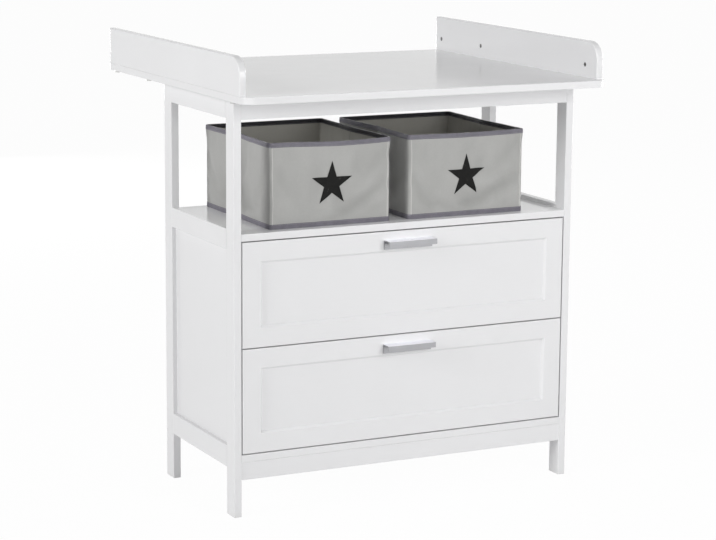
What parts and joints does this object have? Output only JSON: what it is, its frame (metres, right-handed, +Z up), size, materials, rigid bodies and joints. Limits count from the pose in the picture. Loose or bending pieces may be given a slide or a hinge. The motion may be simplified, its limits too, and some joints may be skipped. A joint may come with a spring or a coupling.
{
  "type": "changing dresser",
  "caption": "Nursery changing dresser with thin post legs, a deep overhanging top with side guards, an open bay holding soft fabric boxes, and roller-runner drawers.",
  "frame": {"origin": "on the floor, under the middle of the changing top's outline", "axes": "+X to the user's right when facing the drawers, +Y towards the back, +Z up; the drawers open towards -Y"},
  "size_m": [0.888, 0.78, 1.014],
  "materials": {
    "white_lacquer": "smooth satin white lacquer on board and solid wood",
    "drawer_board": "matte white foil on board",
    "back_board": "thin white lacquered fibreboard",
    "dowel_wood": "raw beech",
    "satin_aluminium": "satin anodised",
    "zinc_steel": "zinc plated",
    "runner_steel": "white powder coat on pressed steel",
    "roller_plastic": "moulded nylon",
    "grey_fabric": "stiffened grey felt-like non-woven cloth with darker binding",
    "insert_fabric": "board wrapped in dark non-woven cloth"
  },
  "bodies": {
    "carcass": {"back_panel": "back_board", "changing_top": "white_lacquer", "floor_board": "white_lacquer", "frame_dowels": "dowel_wood", "guard_barrel_nuts": "zinc_steel", "guard_bolts": "zinc_steel", "guard_left": "white_lacquer", "guard_right": "white_lacquer", "lower_drawer_runner_left": "runner_steel", "lower_drawer_runner_right": "runner_steel", "upper_drawer_runner_left": "runner_steel", "upper_drawer_runner_right": "runner_steel", "plinth_front": "white_lacquer", "post_front_left": "white_lacquer", "post_front_right": "white_lacquer", "post_rear_left": "white_lacquer", "post_rear_right": "white_lacquer", "shelf": "white_lacquer", "side_panel_left": "white_lacquer", "side_panel_right": "white_lacquer", "side_rail_bottom_left": "white_lacquer", "side_rail_bottom_right": "white_lacquer", "side_rail_middle_left": "white_lacquer", "side_rail_middle_right": "white_lacquer", "side_rail_upper_left": "white_lacquer", "side_rail_upper_right": "white_lacquer", "top_brackets": "zinc_steel", "upper_rail_front": "white_lacquer", "upper_rail_rear": "white_lacquer", "wood_screws": "zinc_steel"},
    "upper_drawer": {"upper_drawer_front": "white_lacquer", "upper_drawer_side_left": "drawer_board", "upper_drawer_side_right": "drawer_board", "upper_drawer_back": "drawer_board", "upper_drawer_floor": "drawer_board", "upper_drawer_dowels": "dowel_wood", "upper_drawer_handle": "satin_aluminium", "upper_drawer_handle_screws": "zinc_steel", "upper_drawer_slide_left": "runner_steel", "upper_drawer_slide_right": "runner_steel", "upper_drawer_slide_screws": "zinc_steel"},
    "lower_drawer": {"lower_drawer_front": "white_lacquer", "lower_drawer_side_left": "drawer_board", "lower_drawer_side_right": "drawer_board", "lower_drawer_back": "drawer_board", "lower_drawer_floor": "drawer_board", "lower_drawer_dowels": "dowel_wood", "lower_drawer_handle": "satin_aluminium", "lower_drawer_handle_screws": "zinc_steel", "lower_drawer_slide_left": "runner_steel", "lower_drawer_slide_right": "runner_steel", "lower_drawer_slide_screws": "zinc_steel"},
    "upper_front_rollers": {"upper_drawer_front_rollers": "roller_plastic"},
    "upper_rear_rollers": {"upper_drawer_rear_rollers": "roller_plastic"},
    "lower_front_rollers": {"lower_drawer_front_rollers": "roller_plastic"},
    "lower_rear_rollers": {"lower_drawer_rear_rollers": "roller_plastic"},
    "left_box": {"fabric_box_left": "grey_fabric", "box_base_left": "insert_fabric"},
    "right_box": {"fabric_box_right": "grey_fabric", "box_base_right": "insert_fabric"}
  },
  "joints": [
    {"name": "upper_drawer_slide", "type": "slide", "parent": "carcass", "child": "upper_drawer", "axis": [0, -1, 0], "range_m": [0, 0.27]},
    {"name": "lower_drawer_slide", "type": "slide", "parent": "carcass", "child": "lower_drawer", "axis": [0, -1, 0], "range_m": [0, 0.27]},
    {"name": "upper_front_rollers_turn", "type": "hinge", "parent": "carcass", "child": "upper_front_rollers", "pos_m": [0, -0.252, 0.3912], "axis": [1, 0, 0], "continuous": true},
    {"name": "upper_rear_rollers_turn", "type": "hinge", "parent": "upper_drawer", "child": "upper_rear_rollers", "pos_m": [0, 0.072, 0.3895], "axis": [1, 0, 0], "continuous": true},
    {"name": "lower_front_rollers_turn", "type": "hinge", "parent": "carcass", "child": "lower_front_rollers", "pos_m": [0, -0.252, 0.1567], "axis": [1, 0, 0], "continuous": true},
    {"name": "lower_rear_rollers_turn", "type": "hinge", "parent": "lower_drawer", "child": "lower_rear_rollers", "pos_m": [0, 0.072, 0.155], "axis": [1, 0, 0], "continuous": true},
    {"name": "left_box_slide", "type": "slide", "parent": "carcass", "child": "left_box", "axis": [0, -1, 0], "range_m": [0, 0.4]},
    {"name": "right_box_slide", "type": "slide", "parent": "carcass", "child": "right_box", "axis": [0, -1, 0], "range_m": [0, 0.4]}
  ],
  "couplings": [
    {"joint": "upper_front_rollers_turn", "follows": "upper_drawer_slide", "rad_per_m": 100},
    {"joint": "upper_rear_rollers_turn", "follows": "upper_drawer_slide", "rad_per_m": 100},
    {"joint": "lower_front_rollers_turn", "follows": "lower_drawer_slide", "rad_per_m": 100},
    {"joint": "lower_rear_rollers_turn", "follows": "lower_drawer_slide", "rad_per_m": 100}
  ]
}
